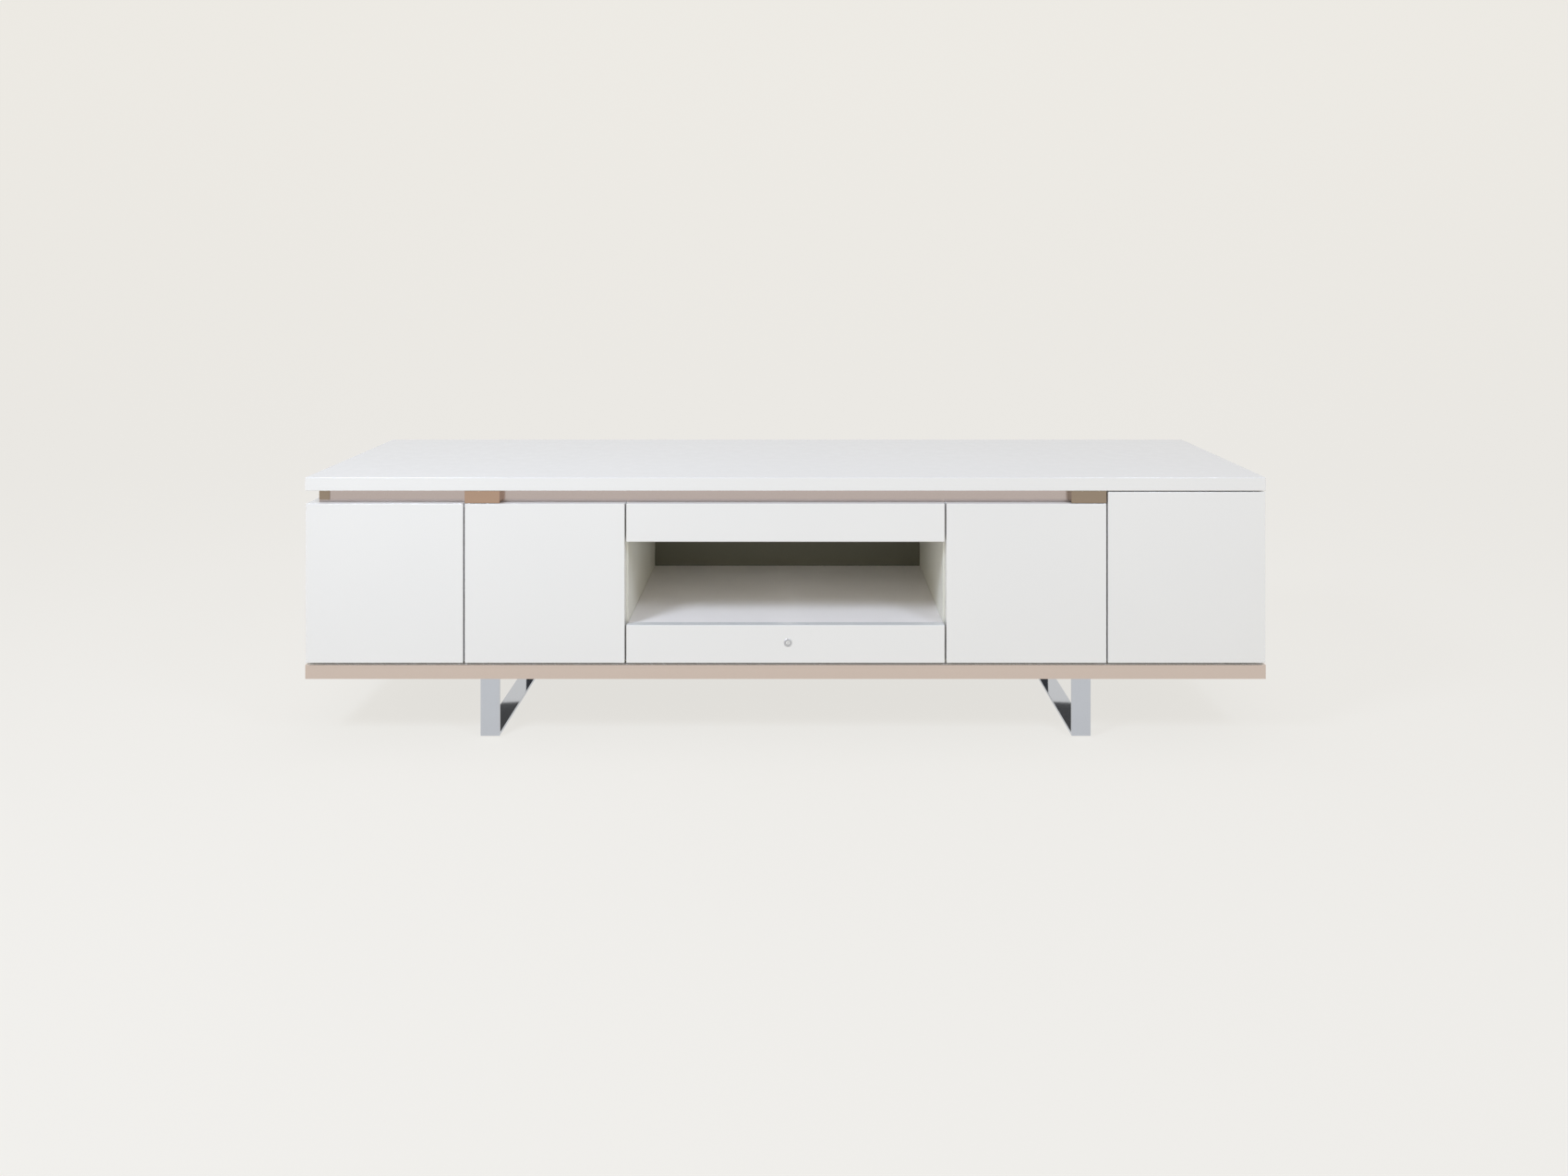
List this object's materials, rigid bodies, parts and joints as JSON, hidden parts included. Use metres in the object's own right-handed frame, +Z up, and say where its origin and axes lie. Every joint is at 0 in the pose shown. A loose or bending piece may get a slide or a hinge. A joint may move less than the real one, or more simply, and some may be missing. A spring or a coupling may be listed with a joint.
{
  "type": "television stand",
  "caption": "Low television stand: slab top on a recessed metal spacer frame, hinged doors beside drawers and an open niche, polished base band and flat-bar sled legs.",
  "frame": {"origin": "on the floor, under the middle of the top slab", "axes": "+X to the right along the stand, -Y towards the user in front of the doors, +Z up"},
  "size_m": [2, 0.45, 0.55],
  "materials": {
    "white_lacquer": "gloss white lacquer on fibreboard",
    "white_board": "satin white melamine on board",
    "grey_back": "matt olive grey board",
    "warm_steel": "polished, warm tinted",
    "polished_chrome": "polished chrome",
    "nickel_steel": "satin nickel plate",
    "zinc_steel": "bright zinc plate",
    "grey_plastic": "moulded",
    "black_plastic": "moulded"
  },
  "bodies": {
    "carcass": {"top_slab": "white_lacquer", "carcass_top": "white_lacquer", "end_panel_left": "white_lacquer", "partition_left": "white_lacquer", "partition_right": "white_lacquer", "partition_end": "white_lacquer", "end_panel_right": "white_lacquer", "niche_floor": "white_lacquer", "niche_ceiling": "white_lacquer", "base_board": "white_board", "shelf_left": "white_board", "shelf_right": "white_board", "shelf_end": "white_board", "back_panel_left": "white_board", "back_panel_right": "white_board", "back_panel_centre": "grey_back", "base_trim": "warm_steel", "spacer_frame": "warm_steel", "spacer_block_left": "warm_steel", "spacer_block_right": "warm_steel", "leg_left": "polished_chrome", "leg_right": "polished_chrome", "upper_drawer_runner_left": "zinc_steel", "upper_drawer_runner_right": "zinc_steel", "lower_drawer_runner_left": "zinc_steel", "lower_drawer_runner_right": "zinc_steel", "door_1_hinge_arm_lower": "nickel_steel", "door_1_hinge_arm_upper": "nickel_steel", "door_2_hinge_arm_lower": "nickel_steel", "door_2_hinge_arm_upper": "nickel_steel", "door_3_hinge_arm_lower": "nickel_steel", "door_3_hinge_arm_upper": "nickel_steel", "end_door_hinge_arm_lower": "nickel_steel", "end_door_hinge_arm_upper": "nickel_steel", "push_latch_housing": "grey_plastic", "leg_left_glide_front": "black_plastic", "leg_left_glide_rear": "black_plastic", "leg_right_glide_front": "black_plastic", "leg_right_glide_rear": "black_plastic"},
    "door_1": {"door_1": "white_lacquer", "door_1_hinge_cup_lower": "nickel_steel", "door_1_hinge_cup_upper": "nickel_steel"},
    "door_2": {"door_2": "white_lacquer", "door_2_hinge_cup_lower": "nickel_steel", "door_2_hinge_cup_upper": "nickel_steel"},
    "door_3": {"door_3": "white_lacquer", "door_3_hinge_cup_lower": "nickel_steel", "door_3_hinge_cup_upper": "nickel_steel"},
    "end_door": {"end_door": "white_lacquer", "end_door_hinge_cup_lower": "nickel_steel", "end_door_hinge_cup_upper": "nickel_steel"},
    "upper_drawer": {"upper_drawer_front": "white_lacquer", "upper_drawer_box": "white_board", "upper_drawer_bottom": "white_board"},
    "lower_drawer": {"lower_drawer_front": "white_lacquer", "lower_drawer_box": "white_board", "lower_drawer_bottom": "white_board", "lock_barrel": "polished_chrome"},
    "lock_plug": {"lock_plug": "nickel_steel"},
    "push_latch_plunger": {"push_latch_plunger": "black_plastic"}
  },
  "joints": [
    {"name": "door_1_hinge", "type": "hinge", "parent": "carcass", "child": "door_1", "pos_m": [-0.998, -0.222, 0.163], "axis": [0, 0, -1], "range_deg": [0, 105]},
    {"name": "door_2_hinge", "type": "hinge", "parent": "carcass", "child": "door_2", "pos_m": [-0.33675, -0.222, 0.163], "axis": [0, 0, 1], "range_deg": [0, 90]},
    {"name": "door_3_hinge", "type": "hinge", "parent": "carcass", "child": "door_3", "pos_m": [0.33675, -0.222, 0.163], "axis": [0, 0, -1], "range_deg": [0, 90]},
    {"name": "end_door_hinge", "type": "hinge", "parent": "carcass", "child": "end_door", "pos_m": [0.998, -0.222, 0.163], "axis": [0, 0, 1], "range_deg": [0, 105]},
    {"name": "upper_drawer_slide", "type": "slide", "parent": "carcass", "child": "upper_drawer", "axis": [0, -1, 0], "range_m": [0, 0.28]},
    {"name": "lower_drawer_slide", "type": "slide", "parent": "carcass", "child": "lower_drawer", "axis": [0, -1, 0], "range_m": [0, 0.28]},
    {"name": "lock_turn", "type": "hinge", "parent": "lower_drawer", "child": "lock_plug", "pos_m": [0.005, -0.2235, 0.2055], "axis": [0, -1, 0], "range_deg": [0, 90]},
    {"name": "push_latch_press", "type": "slide", "parent": "carcass", "child": "push_latch_plunger", "axis": [0, 1, 0], "range_m": [0, 0.003], "stiffness_N_per_m": 300}
  ]
}
